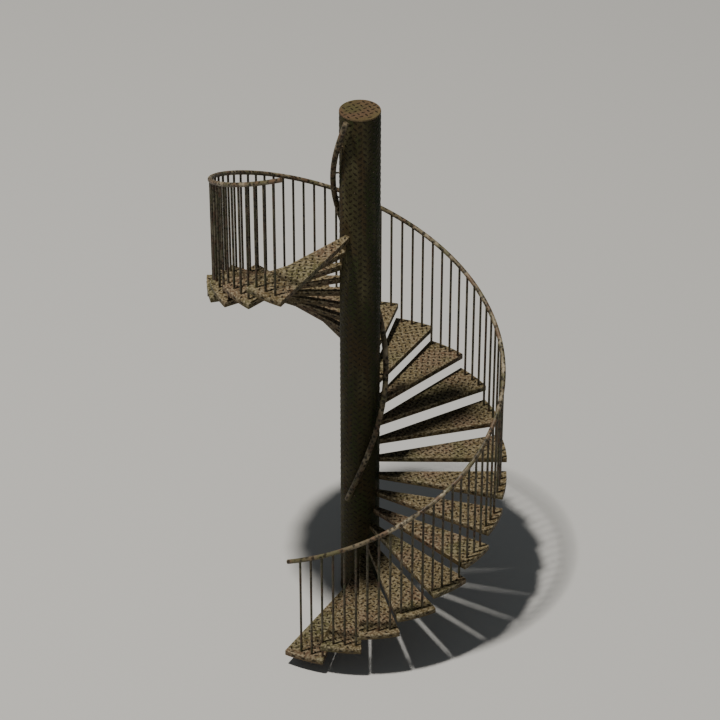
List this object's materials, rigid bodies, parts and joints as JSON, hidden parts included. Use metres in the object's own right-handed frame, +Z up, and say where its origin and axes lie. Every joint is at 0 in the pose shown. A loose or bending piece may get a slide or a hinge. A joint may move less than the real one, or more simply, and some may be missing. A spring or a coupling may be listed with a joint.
{
  "type": "spiral staircase",
  "caption": "Steel spiral stair of open wedge treads around a round column, with a barred guard and handrail outside and a handrail on the column.",
  "frame": {"origin": "centre of the base on the floor, on the column's axis", "axes": "+Z up along the column; the first tread starts at azimuth -120 degrees (0 is +X), at the front (-Y), and the flight climbs one turn counter-clockwise seen from above"},
  "size_m": [2.7998, 2.7998, 5.3485],
  "materials": {
    "tread_plate": "weathered khaki chequer plate with rust-brown and mossy patches",
    "column": "weathered dark olive chequer plate, greener on one side",
    "handrail": "weathered khaki tube, mottled and worn pale on top",
    "baluster": "weathered khaki bar, mottled",
    "base": "weathered dark olive plate"
  },
  "bodies": {
    "root": {"base_plate": "base", "column": "column", "column_cap": "tread_plate", "tread_01": "tread_plate", "tread_02": "tread_plate", "tread_03": "tread_plate", "tread_04": "tread_plate", "tread_05": "tread_plate", "tread_06": "tread_plate", "tread_07": "tread_plate", "tread_08": "tread_plate", "tread_09": "tread_plate", "tread_10": "tread_plate", "tread_11": "tread_plate", "tread_12": "tread_plate", "tread_13": "tread_plate", "tread_14": "tread_plate", "tread_15": "tread_plate", "tread_16": "tread_plate", "tread_17": "tread_plate", "tread_18": "tread_plate", "tread_19": "tread_plate", "tread_20": "tread_plate", "tread_21": "tread_plate", "tread_22": "tread_plate", "tread_23": "tread_plate", "tread_24": "tread_plate", "balusters_1": "baluster", "balusters_2": "baluster", "balusters_3": "baluster", "balusters_4": "baluster", "balusters_5": "baluster", "balusters_6": "baluster", "guard_rail_1": "handrail", "guard_rail_2": "handrail", "guard_rail_3": "handrail", "guard_rail_4": "handrail", "guard_rail_5": "handrail", "guard_rail_6": "handrail", "column_rail_1": "handrail", "column_rail_2": "handrail", "column_rail_3": "handrail", "column_rail_4": "handrail", "column_rail_brackets": "baluster"}
  },
  "joints": []
}
